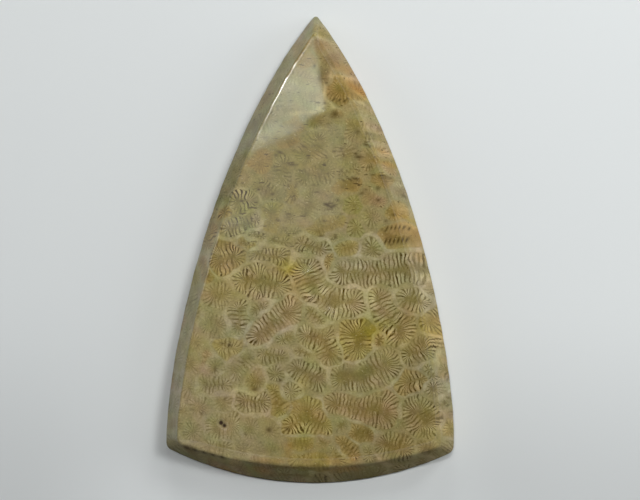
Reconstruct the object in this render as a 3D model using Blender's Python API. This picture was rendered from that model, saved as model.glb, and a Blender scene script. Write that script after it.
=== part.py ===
"""A polished fossil coral cabochon: one flat-backed, three-sided stone with a long tip.

The stone lies on its flat back with +Z up. Its long axis is Y, with the tip at +Y. The origin is
at the middle of the bounding box, on the plane of the back. Lengths are in metres.

The solid is a loft through three outlines: the back, the girdle, which is the widest, and the
arris, where the leaning wall meets the polished face. The face is a very low dome.
"""

import math
from typing import NamedTuple

import bmesh
import bpy
from mathutils import Vector
from mathutils.geometry import interpolate_bezier

NAME = "fossil_coral_cabochon"
MM = 0.001


class Outline(NamedTuple):
    """A tip, two bowed sides that mirror each other, and a foot that is an arc."""

    width: float          # between the two foot corners
    corner_y: float       # height of the foot corners above those of the girdle
    tip_y: float          # height of the tip above the girdle's foot corners
    foot_sagitta: float   # how far the foot bows below its corners
    corner_flare: float   # slope at which a side leaves its foot corner, outward from the long axis
    tip_lean: float       # slope at which a side meets the tip, from the long axis
    corner_handle: float  # reach of the side's Bezier handles, as shares of the side's height
    tip_handle: float


GIRDLE = Outline(
    width=32.0 * MM, corner_y=0.0, tip_y=48.7 * MM, foot_sagitta=3.7 * MM,
    corner_flare=math.radians(3.5), tip_lean=math.radians(38.5),
    corner_handle=0.155, tip_handle=0.40,
)
ARRIS = Outline(
    width=29.0 * MM, corner_y=0.6 * MM, tip_y=46.2 * MM, foot_sagitta=2.4 * MM,
    corner_flare=math.radians(4.5), tip_lean=math.radians(34.5),
    corner_handle=0.10, tip_handle=0.44,
)

# The section, from the back up to the face.
BACK_INSET = 0.35 * MM     # the back lies this far inside the girdle, at 45 degrees
ARRIS_HEIGHT = 4.7 * MM
CROWN = Vector((0, 20.0 * MM, 5.0 * MM))    # top of the dome, measured from the foot corners
DOME_RINGS = 7             # loops between the arris and the crown

# Hand-polished edges.
ARRIS_ROUND = 0.24 * MM
BACK_ROUND = 0.10 * MM     # on the girdle and round the back
ROUND_STEPS = 3
CORNER_TRIM = 0.6 * MM     # how far from its sharp point each corner starts to turn
CORNER_STEPS = 4

SIDE_STEPS = 30
FOOT_STEPS = 24

STONE_COLOUR = (0.27, 0.24, 0.13, 1.0)
STONE_ROUGHNESS = 0.25


def clear_scene():
    for thing in list(bpy.data.objects):
        bpy.data.objects.remove(thing)


def slope(direction, angle):
    """A unit vector at an angle from +Y: toward +X where direction is 1, toward -X where it is -1."""
    return Vector((direction * math.sin(angle), math.cos(angle)))


def side_points(outline, corner, tip, direction):
    """Points up one side, from its foot corner to the tip, with both ends trimmed for rounding."""
    height = tip.y - corner.y
    corner_handle = corner + height * outline.corner_handle * slope(direction, outline.corner_flare)
    tip_handle = tip - height * outline.tip_handle * slope(-direction, outline.tip_lean)
    return trimmed(interpolate_bezier(corner, corner_handle, tip_handle, tip, SIDE_STEPS + 1))


def foot_points(outline, left_corner, right_corner):
    """Points along the foot, from the left corner to the right one, with both ends trimmed."""
    half_chord = outline.width / 2
    radius = (half_chord**2 + outline.foot_sagitta**2) / (2 * outline.foot_sagitta)
    half_angle = math.asin(half_chord / radius)
    centre = (left_corner + right_corner) / 2 + Vector((0, radius - outline.foot_sagitta))
    angles = [half_angle * (2 * step / FOOT_STEPS - 1) for step in range(FOOT_STEPS + 1)]
    return trimmed([centre + radius * Vector((math.sin(a), -math.cos(a))) for a in angles])


def trimmed(points):
    """The points with the first and the last moved in along the curve, to leave room for a corner."""
    start = points[0] + CORNER_TRIM * (points[1] - points[0]).normalized()
    end = points[-1] + CORNER_TRIM * (points[-2] - points[-1]).normalized()
    return [start] + points[1:-1] + [end]


def turn_points(start, corner, end, steps):
    """The points between start and end on a curve that rounds off a corner, tangent to both sides."""
    shares = [step / steps for step in range(1, steps)]
    return [start.lerp(corner, share).lerp(corner.lerp(end, share), share) for share in shares]


def outline_points(outline):
    """The closed outline, anticlockwise from its left foot corner."""
    left = Vector((-outline.width / 2, outline.corner_y))
    right = Vector((outline.width / 2, outline.corner_y))
    tip = Vector((0, outline.tip_y))
    foot = foot_points(outline, left, right)
    right_side = side_points(outline, right, tip, 1)
    left_side = side_points(outline, left, tip, -1)[::-1]
    return (
        foot + turn_points(foot[-1], right, right_side[0], CORNER_STEPS)
        + right_side + turn_points(right_side[-1], tip, left_side[0], CORNER_STEPS)
        + left_side + turn_points(left_side[-1], left, foot[0], CORNER_STEPS)
    )


def inset(points, distance):
    """A closed anticlockwise outline moved in by a distance, point for point."""
    moved = []
    for before, point, after in zip(points[-1:] + points[:-1], points, points[1:] + points[:1]):
        along = (after - before).normalized()
        moved.append(point + distance * Vector((-along.y, along.x)))
    return moved


def raised(points, height):
    """The points of a flat outline, at a height."""
    return [Vector((point.x, point.y, height)) for point in points]


def dome_point(arris_point, share):
    """A point of the face, at a share of the way in from the arris to the crown."""
    point = arris_point.lerp(CROWN, share)
    point.z = CROWN.z - (CROWN.z - arris_point.z) * (1 - share) ** 2
    return point


def towards(point, target, distance):
    return point + distance * (target - point).normalized()


def rounded_edge(before, edge, after, radius):
    """The loops that stand in for a sharp edge, between the loops on its two sides."""
    starts = [towards(point, target, radius) for point, target in zip(edge, before)]
    ends = [towards(point, target, radius) for point, target in zip(edge, after)]
    turns = [turn_points(*points, ROUND_STEPS) for points in zip(starts, edge, ends)]
    return [starts] + [list(loop) for loop in zip(*turns)] + [ends]


def section_loops():
    """Every loop of the stone's surface, from the edge of the flat back up to near the crown."""
    girdle_outline = outline_points(GIRDLE)
    back = raised(inset(girdle_outline, BACK_INSET), 0.0)
    back_middle = [Vector((0, CROWN.y, 0))] * len(back)
    girdle = raised(girdle_outline, BACK_INSET)
    arris = raised(outline_points(ARRIS), ARRIS_HEIGHT)
    shares = [ring / (DOME_RINGS + 1) for ring in range(1, DOME_RINGS + 1)]
    dome = [[dome_point(point, share) for point in arris] for share in shares]
    return (
        rounded_edge(back_middle, back, girdle, BACK_ROUND)
        + rounded_edge(back, girdle, arris, BACK_ROUND)
        + rounded_edge(girdle, arris, dome[0], ARRIS_ROUND)
        + dome
    )


def add_loop(bm, points):
    """Adds a closed loop of edges and returns them."""
    verts = [bm.verts.new(point) for point in points]
    return [bm.edges.new(pair) for pair in zip(verts, verts[1:] + verts[:1])]


def centre_on_back(bm):
    """Moves the solid so that the origin is the middle of its bounding box, at the back."""
    xs, ys, zs = zip(*(vert.co for vert in bm.verts))
    middle = Vector(((min(xs) + max(xs)) / 2, (min(ys) + max(ys)) / 2, min(zs)))
    bmesh.ops.translate(bm, verts=bm.verts, vec=-middle)


def stone_mesh():
    bm = bmesh.new()
    loops = [add_loop(bm, points) for points in section_loops()]
    for lower, upper in zip(loops, loops[1:]):
        bmesh.ops.bridge_loops(bm, edges=lower + upper)
    bmesh.ops.contextual_create(bm, geom=loops[0])
    top = bmesh.ops.contextual_create(bm, geom=loops[-1])["faces"]
    bmesh.ops.poke(bm, faces=top)["verts"][0].co = CROWN
    bmesh.ops.recalc_face_normals(bm, faces=bm.faces)
    centre_on_back(bm)
    mesh = bpy.data.meshes.new(NAME)
    bm.to_mesh(mesh)
    bm.free()
    mesh.shade_smooth()
    mesh.set_sharp_from_angle(angle=math.radians(35))
    return mesh


def stone_material():
    material = bpy.data.materials.new("polished_fossil_coral")
    material.use_nodes = True
    shader = material.node_tree.nodes["Principled BSDF"]
    shader.inputs["Base Color"].default_value = STONE_COLOUR
    shader.inputs["Roughness"].default_value = STONE_ROUGHNESS
    shader.inputs["Metallic"].default_value = 0.0
    return material


def main():
    clear_scene()
    parts = bpy.data.collections.new(NAME)
    bpy.context.scene.collection.children.link(parts)
    mesh = stone_mesh()
    mesh.materials.append(stone_material())
    parts.objects.link(bpy.data.objects.new(NAME, mesh))


if __name__ == "__main__":
    main()
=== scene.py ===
"""A polished fossil coral cabochon on a pale floor, in soft studio light.

One closed mesh stands for the CAD solid and keeps its form. Its markings come from a model of the
coral itself: corallites, each a disc swept along a short path, packed side by side and leaning a
little through the rock. The face, the leaning walls and the back all cut through the same
corallites. Every vertex stores where it lies in its corallite, and the material draws the walls,
the septa and the dark gaps between them from that.

Lengths are in millimetres, and become metres when the mesh, the lights and the camera are made.
"""

import math

import bpy
import numpy as np
from mathutils import Matrix, Vector


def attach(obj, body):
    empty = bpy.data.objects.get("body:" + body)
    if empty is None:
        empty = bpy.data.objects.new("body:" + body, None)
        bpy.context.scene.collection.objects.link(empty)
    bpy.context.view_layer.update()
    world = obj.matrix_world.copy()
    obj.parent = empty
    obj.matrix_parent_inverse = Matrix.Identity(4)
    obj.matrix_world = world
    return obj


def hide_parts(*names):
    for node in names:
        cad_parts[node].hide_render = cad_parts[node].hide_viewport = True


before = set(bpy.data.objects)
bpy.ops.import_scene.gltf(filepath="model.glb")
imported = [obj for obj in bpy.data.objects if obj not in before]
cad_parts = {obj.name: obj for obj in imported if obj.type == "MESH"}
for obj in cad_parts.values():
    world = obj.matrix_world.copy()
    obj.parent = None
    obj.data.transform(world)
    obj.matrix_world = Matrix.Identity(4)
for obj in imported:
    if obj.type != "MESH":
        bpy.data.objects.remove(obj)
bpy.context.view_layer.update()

MM = 0.001

# ---- Form: the outlines and the section of the CAD solid ----

# width, corner_y, tip_y, foot_sagitta, corner_flare, tip_lean (degrees), corner_handle, tip_handle
GIRDLE = (32.0, 0.0, 48.7, 3.7, 3.5, 38.5, 0.155, 0.40)
ARRIS = (29.0, 0.6, 46.2, 2.4, 4.5, 34.5, 0.10, 0.44)
CENTRE_Y = 22.353  # middle of the bounding box, above the girdle's foot corners
CORNER_TRIM = 0.6  # how far from its sharp point each corner starts to turn
GIRDLE_HEIGHT = 0.35
BACK_INSET = 0.35  # the back lies this far inside the girdle
ARRIS_HEIGHT = 4.7
CROWN = np.array((0.0, 20.0 - CENTRE_Y))
CROWN_HEIGHT = 5.0
ARRIS_ROUND = 0.24
BACK_ROUND = 0.10  # on the girdle and round the back
HELD_IN = 0.9988  # keeps the finer curves of this mesh inside the CAD solid's box

# Toward the tip the face is two slight facets, which rise from the arris and meet in a soft ridge.
LEFT_FACET_SLOPE, RIGHT_FACET_SLOPE = 0.038, 0.08
FACET_BLEND = 0.04  # the height over which the ridge is softened
FACET_LINE_Y = 13.5  # where the facets begin, on the long axis
FACET_LINE_SLOPE = 0.33  # how the line where they begin climbs to the right

# The dome is averaged over these turns about the crown, in degrees, with these weights.
DOME_SMOOTHING = {-15: 1, -10: 2, -5: 3, 0: 3, 5: 3, 10: 2, 15: 1}

CURVE_POINTS = 400
HALF_TURN = 16  # steps from the start of a corner's turn to its middle
FACE_ROWS = 340  # rows of triangles on the face; the back has half as many
BACK_ROWS = FACE_ROWS // 2
WALL_RINGS = 13
ARRIS_STEPS, BACK_STEPS = 5, 3  # in the rounding of the arris, and of the girdle and the back
FACE, WALLS, BACK = range(3)  # the parts of the surface


def ramp(value, low, high):
    """0 at low, 1 at high and smooth between them; low may be the larger."""
    t = np.clip((value - low) / (high - low), 0, 1)
    return t * t * (3 - 2 * t)


def lengths(vectors):
    return np.linalg.norm(vectors, axis=1)


def rotation(angle):
    """The matrix that turns row vectors anticlockwise."""
    return np.array(((math.cos(angle), math.sin(angle)), (-math.sin(angle), math.cos(angle))))


def bezier(a, b, c, d):
    t = np.linspace(0, 1, CURVE_POINTS)[:, None]
    return a * (1 - t) ** 3 + 3 * b * t * (1 - t) ** 2 + 3 * c * t * t * (1 - t) + d * t**3


def turn(a, b, c, t):
    """The point at share t of a curve from a to c that rounds off the corner b."""
    return a * (1 - t) ** 2 + 2 * b * t * (1 - t) + c * t * t


def resampled(points, count, trim=0.0):
    """Points at equal distances along a curve, whose ends are cut back by the trim."""
    along = np.concatenate(([0], np.cumsum(lengths(np.diff(points, axis=0)))))
    at = np.linspace(trim, along[-1] - trim, count)
    return np.stack([np.interp(at, along, points[:, axis]) for axis in range(2)], 1)


def outline(shape):
    """A closed outline, anticlockwise from its left foot corner, with FACE_ROWS points a side."""
    width, corner_y, tip_y, sagitta, flare, lean, corner_handle, tip_handle = shape
    flare, lean, height = math.radians(flare), math.radians(lean), tip_y - corner_y
    left, right, tip = np.array(((-width / 2, corner_y), (width / 2, corner_y), (0, tip_y)))
    outward = np.array((math.sin(flare), math.cos(flare))) * height * corner_handle
    inward = np.array((math.sin(lean), -math.cos(lean))) * height * tip_handle
    right_side = bezier(right, right + outward, tip + inward, tip)
    left_side = (right_side * (-1, 1))[::-1]
    radius = (width**2 / 4 + sagitta**2) / (2 * sagitta)
    angle = np.linspace(-1, 1, CURVE_POINTS) * math.asin(width / 2 / radius)
    foot = np.stack((radius * np.sin(angle), corner_y - sagitta + radius * (1 - np.cos(angle))), 1)
    sides = [resampled(side, CURVE_POINTS, CORNER_TRIM) for side in (foot, right_side, left_side)]
    t = np.linspace(0, 1, 2 * HALF_TURN + 1)[:, None]
    turns = [turn(sides[k][-1], (right, tip, left)[k], sides[(k + 1) % 3][0], t) for k in range(3)]
    loop = []
    for k, side in enumerate(sides):
        whole = np.concatenate((turns[k - 1][HALF_TURN:], side[1:-1], turns[k][:HALF_TURN + 1]))
        loop.append(resampled(whole, FACE_ROWS + 1)[:-1])
    loop = np.concatenate(loop)
    loop[:, 1] -= CENTRE_Y
    return loop * HELD_IN


def inset(loop, distance):
    """A closed anticlockwise outline moved in by a distance, point for point."""
    along = np.roll(loop, -1, 0) - np.roll(loop, 1, 0)
    along /= lengths(along)[:, None]
    return loop + distance * np.stack((-along[:, 1], along[:, 0]), 1)


def at_height(loop, height):
    return np.column_stack((loop, np.broadcast_to(height, len(loop))))


def dome_share(points, arris):
    """How far each point of the face is from the crown, as a share of the way to the arris."""
    around = arris - CROWN
    angle = np.arctan2(around[:, 1], around[:, 0])
    order = np.argsort(angle)
    reach = lengths(around)[order]
    away = points - CROWN
    limit = np.interp(np.arctan2(away[:, 1], away[:, 0]), angle[order], reach, period=2 * math.pi)
    return lengths(away) / limit


def tip_facets(points, arris):
    """Height of the face toward the tip: a wide gentle facet on the left and a steep one on the right."""
    right_side, left_side = arris[FACE_ROWS:2 * FACE_ROWS], arris[2 * FACE_ROWS:]
    rises = []
    for side, slope in ((left_side, LEFT_FACET_SLOPE), (right_side, RIGHT_FACET_SLOPE)):
        rises.append(slope * np.array([np.hypot(*(side - point).T).min() for point in points]))
    lower = -FACET_BLEND * np.log(sum(np.exp(-rise / FACET_BLEND) for rise in rises))
    return ARRIS_HEIGHT + np.maximum(lower, 0)


def above_facet_line(points):
    """Distance above the slanting line where the facets of the tip begin."""
    return points[:, 1] - FACET_LINE_SLOPE * points[:, 0] - FACET_LINE_Y


def dome_height(points, arris):
    """Height of the face: inside the rim the share is smoothed, so that no crease runs to a corner."""
    share = dome_share(points, arris)
    spun = [(points - CROWN) @ rotation(math.radians(degrees)) + CROWN for degrees in DOME_SMOOTHING]
    smooth = np.average([dome_share(place, arris) for place in spun], 0, weights=[*DOME_SMOOTHING.values()])
    share = share + (smooth - share) * (1 - ramp(share, 0.70, 1.0))
    height = CROWN_HEIGHT - (CROWN_HEIGHT - ARRIS_HEIGHT) * share**2
    faceted = ramp(above_facet_line(points), -1.0, 1.2)
    near = faceted > 0
    height[near] += faceted[near] * (tip_facets(points[near], arris) - height[near])
    return height


def grid_inside(loop, rows):
    """A triangular grid of points inside a three-sided loop: rows from the tip down to the foot."""
    foot, right, left = loop[:rows + 1], loop[rows:2 * rows + 1], loop[2 * rows:]
    left = np.concatenate((left, loop[:1]))
    along_foot = np.linspace(0, 1, rows + 1)
    points = []
    for row in range(rows + 1):
        u = np.linspace(0, 1, row + 1)[:, None]
        bow = np.stack([np.interp(u[:, 0], along_foot, foot[:, axis]) for axis in range(2)], 1)
        bow = bow - (foot[0] * (1 - u) + foot[-1] * u)
        points.append(left[row] * (1 - u) + right[rows - row] * u + bow * (row / rows) ** 2)
    return np.concatenate(points)


def grid_triangles(rows):
    start = [row * (row + 1) // 2 for row in range(rows + 2)]
    triangles = []
    for row in range(rows):
        j = np.arange(row + 1)
        triangles.append(np.stack((start[row] + j, start[row + 1] + j, start[row + 1] + j + 1), 1))
        triangles.append(np.stack((start[row] + j, start[row + 1] + j + 1, start[row] + j + 1), 1)[:-1])
    return np.concatenate(triangles)


def grid_rim(rows):
    """The grid's own outer vertices, anticlockwise from the left foot corner."""
    row = np.arange(rows + 1)
    first = row * (row + 1) // 2
    return np.concatenate((first[-1] + row[:-1], (first + row)[:0:-1], first[:-1]))


def towards(start, target, distance):
    way = target - start
    return start + distance * way / lengths(way)[:, None]


def rounding(before, edge, after, radius, steps):
    """Rings that replace a sharp edge, from the side of the ring before it to the side after it."""
    start, end = towards(edge, before, radius), towards(edge, after, radius)
    return [turn(start, edge, end, t) for t in np.linspace(0, 1, steps + 1)]


def section_rings(arris_loop):
    """Rings of points down the sides, from the rim of the face to the rim of the back."""
    girdle_loop = outline(GIRDLE)
    arris = at_height(arris_loop, ARRIS_HEIGHT)
    girdle = at_height(girdle_loop, GIRDLE_HEIGHT)
    back = at_height(inset(girdle_loop, BACK_INSET), 0.0)
    on_face = CROWN + (arris_loop - CROWN) * 0.9
    on_face = np.column_stack((on_face, dome_height(on_face, arris_loop)))
    on_back = at_height(CROWN + (girdle_loop - CROWN) * 0.5, 0.0)

    arris_rings = rounding(on_face, arris, girdle, ARRIS_ROUND, ARRIS_STEPS)
    girdle_rings = rounding(arris, girdle, back, BACK_ROUND, BACK_STEPS)
    back_rings = rounding(girdle, back, on_back, BACK_ROUND, BACK_STEPS)
    top, bottom = arris_rings[-1], girdle_rings[0]
    wall_rings = [top + (bottom - top) * share for share in np.linspace(0, 1, WALL_RINGS + 2)[1:-1]]
    return arris_rings + wall_rings + girdle_rings + back_rings


def stone_surface():
    """(points, triangles, part) of the closed mesh, where part is FACE, WALLS or BACK for each point."""
    arris_loop = outline(ARRIS)
    rings = section_rings(arris_loop)
    face = grid_inside(rings[0][:, :2], FACE_ROWS)
    face = np.column_stack((face, dome_height(face, arris_loop)))
    rim = grid_rim(FACE_ROWS)
    face[rim] = rings[0]
    back = at_height(grid_inside(rings[-1][::2, :2], BACK_ROWS), 0.0)
    back_rim = grid_rim(BACK_ROWS)
    back[back_rim] = rings[-1][::2]

    count = len(arris_loop)
    around, following = np.arange(count), (np.arange(count) + 1) % count
    points, triangles = [face], [grid_triangles(FACE_ROWS)]
    upper, used = rim, len(face)
    for ring in rings[1:]:
        lower = used + around
        triangles.append(np.stack((upper, lower, lower[following]), 1))
        triangles.append(np.stack((upper, lower[following], upper[following]), 1))
        points.append(ring)
        upper, used = lower, used + count

    # The back's rim has every second point of the last ring, so three triangles join each pair.
    coarse = used + back_rim
    after = np.roll(coarse, -1)
    first, middle, last = upper[::2], upper[1::2], np.roll(upper[::2], -1)
    for three in ((first, coarse, middle), (middle, coarse, after), (middle, after, last)):
        triangles.append(np.stack(three, 1))
    triangles.append(used + grid_triangles(BACK_ROWS)[:, ::-1])
    points.append(back)
    part = np.repeat((FACE, WALLS, BACK), (len(face), count * (len(rings) - 1), len(back)))
    return np.concatenate(points), np.concatenate(triangles), part


# ---- Coral: the corallites ----

WALL_HALF = 0.18  # half the thickness of the wall that two corallites share
SEPTUM_SPACING = 0.45  # from septum to septum, at the wall
SWELL = 0.30  # how far a corallite may reach beyond its discs into the rock between
LEAN = np.array((0.12, -0.05))  # how far the corallites lean, for each millimetre of depth
REACH = 2.0  # each corallite is worked out this far beyond its discs
FAR = 9.0  # stands for the distance to a corallite that isn't there
LONE_DISC_STEP = (0.001, 0.002, 0)  # a corallite of one disc is swept this far

# The smaller corallites are packed at random spots in these ranges of x and y, the largest first.
PACKING_SPOTS = 9000
PACKING_AREA = (-19, 19), (-29, 28)
PACKING_RADII = (0.95, 1.35), (0.75, 1.1), (0.58, 0.8)
SMALL_TINTS = ("tan", "tan", "tan", "grey", "pink", "brown", "gold")

# In the upper half they stretch along rows that climb a little to the right.
ROWS_ABOVE = -2
ROW_CLIMB = 0.18  # radians
ACROSS_ROWS = 2.2  # a distance counts that many times as much across the rows as along them
ROWS = rotation(-ROW_CLIMB) * (1, ACROSS_ROWS)

# Each corallite: the discs along its middle as x, y, radius; how clearly its gaps show; its tint.
CORALLITES = [
    # foot, right
    ([(12.0, -18.1, 2.0), (12.6, -19.0, 1.9)], 1.0, "tan"),
    ([(3.0, -17.2, 1.35), (5.4, -17.6, 1.35), (7.7, -17.8, 2.1)], 0.95, "pink"),
    ([(3.4, -14.4, 1.35), (5.5, -14.4, 1.65), (8.1, -12.9, 1.95)], 0.85, "tan"),
    ([(12.2, -11.0, 1.6), (10.9, -11.7, 1.1)], 0.95, "tan"),
    ([(10.8, -14.7, 1.3), (12.0, -14.4, 0.9)], 1.0, "brown"), ([(13.6, -15.4, 1.05)], 1.0, "tan"),
    ([(8.4, -21.6, 1.35), (10.3, -22.0, 1.4)], 0.75, "tan"),
    ([(5.2, -20.2, 1.0), (6.4, -20.6, 0.9)], 0.5, "brown"),
    ([(3.7, -21.4, 0.8), (5.0, -22.6, 0.8)], 0.7, "brown"),
    ([(-1.9, -19.5, 1.1), (-0.3, -18.6, 1.95), (1.6, -19.5, 1.1)], 0.7, "gold"),
    ([(-2.2, -21.7, 0.8), (-0.2, -21.7, 0.85)], 0.2, "gold"), ([(1.6, -21.5, 0.75)], 0.2, "pink"),
    ([(-1.3, -23.3, 0.9), (1.4, -23.3, 1.0)], 0.3, "gold"),
    # foot, left
    ([(-9.9, -19.8, 1.5), (-8.6, -19.8, 1.4)], 0.45, "tan"), ([(-12.9, -20.4, 1.1)], 0.4, "tan"),
    ([(-10.9, -22.1, 0.9), (-9.2, -22.3, 0.9)], 0.35, "tan"), ([(-7.2, -22.4, 0.9)], 0.3, "tan"),
    ([(-6.2, -23.7, 0.6), (-3.6, -23.6, 0.7)], 0.3, "pink"), ([(-6.4, -20.0, 1.2)], 0.3, "tan"),
    ([(-4.4, -20.2, 1.0)], 0.2, "tan"), ([(-4.6, -22.2, 1.0), (-3.0, -22.0, 0.9)], 0.15, "tan"),
    ([(-7.0, -17.0, 1.0), (-5.2, -17.0, 1.1)], 0.75, "grey"), ([(-6.0, -14.8, 1.1)], 0.5, "tan"),
    ([(-11.6, -15.2, 0.9), (-9.6, -15.2, 1.0)], 0.55, "tan"), ([(-10.5, -13.3, 0.9)], 0.4, "tan"),
    ([(-9.6, -17.2, 0.9)], 0.3, "tan"), ([(-12.2, -17.7, 1.1)], 0.35, "tan"),
    ([(-13.2, -13.0, 1.0)], 0.3, "tan"), ([(-13.3, -15.5, 1.0)], 0.3, "tan"),
    ([(-2.1, -15.8, 0.95)], 0.7, "tan"), ([(-3.7, -14.0, 0.9)], 0.6, "tan"),
    ([(-1.2, -13.4, 1.2), (0.9, -14.4, 1.2)], 0.7, "tan"),
    # middle, right
    ([(5.0, -9.6, 1.85), (5.1, -10.7, 1.8)], 1.0, "gold"),
    ([(7.4, -5.5, 1.15), (8.0, -6.8, 1.1), (8.9, -8.2, 1.4), (9.7, -8.9, 1.85)], 1.0, "tan"),
    ([(10.7, -5.4, 1.1), (12.1, -5.9, 1.1)], 0.95, "tan"),
    ([(3.5, -2.7, 1.35), (7.5, -2.6, 1.5), (12.5, -2.0, 1.6)], 0.85, "grey"),
    ([(-0.4, -2.8, 1.75), (0.6, -4.9, 1.35), (2.4, -6.1, 1.7), (4.4, -6.1, 1.6)], 1.0, "tan"),
    ([(-0.3, -9.8, 1.2), (1.3, -10.3, 1.6), (2.2, -11.6, 1.3)], 0.8, "tan"),
    # middle, left
    ([(-7.3, -3.8, 1.3), (-5.7, -3.8, 1.95), (-3.8, -4.1, 1.5)], 0.95, "tan"),
    ([(-9.9, -1.3, 1.75), (-8.6, -1.1, 1.3)], 1.0, "brown"),
    ([(-10.6, -5.3, 1.2), (-9.7, -5.4, 1.3)], 0.5, "tan"),
    ([(-7.9, -7.0, 1.15), (-7.9, -8.8, 0.95)], 0.75, "tan"),
    ([(-5.7, -9.7, 1.2), (-4.2, -8.4, 1.3), (-2.6, -7.2, 1.6)], 0.85, "pink"),
    ([(-11.2, -8.7, 1.2), (-10.2, -8.9, 1.1)], 0.35, "tan"), ([(-12.8, -10.6, 1.1)], 0.3, "tan"),
    ([(-9.6, -11.2, 1.0), (-8.3, -11.2, 0.9)], 0.5, "gold"),
    ([(-5.0, -11.9, 0.9), (-3.3, -11.9, 0.9)], 0.6, "tan"),
    # above the middle, left
    ([(-8.0, 5.0, 1.1), (-7.0, 5.2, 0.95)], 1.0, "tan"), ([(-9.9, 3.8, 0.75)], 1.0, "brown"),
    ([(-9.3, 2.0, 0.75), (-7.6, 2.3, 0.75), (-6.2, 2.9, 0.7)], 1.0, "tan"),
    ([(-6.6, 1.3, 0.55), (-5.6, 1.0, 0.5)], 0.9, "tan"),
    ([(-7.6, 0.3, 0.55), (-6.3, 0.2, 0.5)], 0.9, "brown"),
    ([(-6.2, -0.8, 0.75), (-4.6, -1.0, 0.9), (-3.4, -1.0, 0.9)], 0.9, "tan"),
    ([(-4.3, 0.7, 0.6), (-3.0, 0.7, 0.6)], 0.4, "grey"),
    ([(-1.0, 0.4, 0.8), (-0.1, 0.0, 0.9), (1.1, -0.2, 0.85)], 0.95, "tan"),
    ([(-2.2, 6.0, 1.0)], 0.4, "gold"), ([(-2.5, 3.2, 0.9)], 0.35, "tan"),
    # above the middle, right
    ([(3.2, 6.7, 0.8), (4.4, 6.9, 0.85)], 0.2, "brown"), ([(7.7, 7.3, 1.1)], 0.25, "brown"),
    ([(1.7, 4.5, 0.65), (2.4, 4.6, 0.6)], 0.3, "tan"), ([(4.5, 4.9, 0.95)], 0.4, "green"),
    ([(2.5, 1.3, 0.7)], 0.5, "tan"), ([(6.6, 3.4, 1.0)], 0.35, "tan"), ([(4.8, 2.1, 0.8)], 0.4, "green"),
    ([(6.6, -0.2, 1.1)], 0.75, "tan"), ([(3.3, -0.2, 0.8), (4.4, 0.1, 0.7)], 0.5, "gold"),
    ([(8.6, 1.3, 1.1), (10.7, 1.6, 1.15)], 0.1, "brown"), ([(9.0, 4.2, 1.0)], 0.3, "brown"),
    # toward the tip
    ([(2.8, 17.3, 1.4), (4.4, 17.5, 1.2)], 0.35, "brown"),
    ([(-1.2, 16.6, 1.2), (0.0, 16.5, 1.2)], 0.2, "pale"), ([(0.9, 18.8, 0.75)], 0.1, "dim"),
    ([(2.4, 14.6, 0.6)], 0.15, "dim"), ([(0.7, 22.3, 0.9)], 0.25, "pink"),
    ([(1.9, 20.9, 0.8)], 0.15, "dim"),
]

# Where the gaps show more or less than in the rest of their corallite: x, y, radius, change.
EMPHASIS = [
    (4.2, -13.6, 1.4, -0.8), (6.1, -8.9, 1.1, -0.9), (-0.3, -17.7, 1.1, -0.6), (7.3, -17.6, 0.9, -0.6),
    (11.2, -7.4, 0.8, -0.5), (-9.9, -19.2, 0.9, -0.3), (-6.2, 4.9, 0.6, -0.4), (3.9, 6.5, 0.7, -0.6),
    (4.8, -15.3, 0.6, 0.5), (8.8, -12.3, 0.8, 0.4), (3.9, -10.9, 0.9, 0.4), (4.6, -8.5, 0.8, 0.3),
    (8.7, -9.0, 1.0, 0.5), (2.6, -7.1, 1.1, 0.4), (0.3, -4.9, 0.9, 0.3), (11.2, -5.6, 0.9, 0.3),
    (10.9, -14.3, 1.0, 0.2), (-1.7, -2.9, 0.8, 0.5), (-8.0, 5.7, 0.8, 0.5), (-9.6, 3.8, 0.5, 0.4),
    (-1.0, -19.9, 1.2, 0.6), (2.9, 16.6, 0.8, 0.4), (5.5, -17.4, 2.4, -0.15), (11.9, -18.5, 2.2, -0.2),
    (6.5, -14.0, 2.4, -0.2), (11.5, -12.0, 2.0, -0.15), (-8.8, 3.2, 1.6, 0.3), (-1.0, 0.5, 0.6, 0.4),
    (6.2, -20.3, 0.5, 0.5), (-6.0, -10.4, 0.6, 0.4), (9.6, -21.2, 0.7, 0.3),
]

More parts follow.
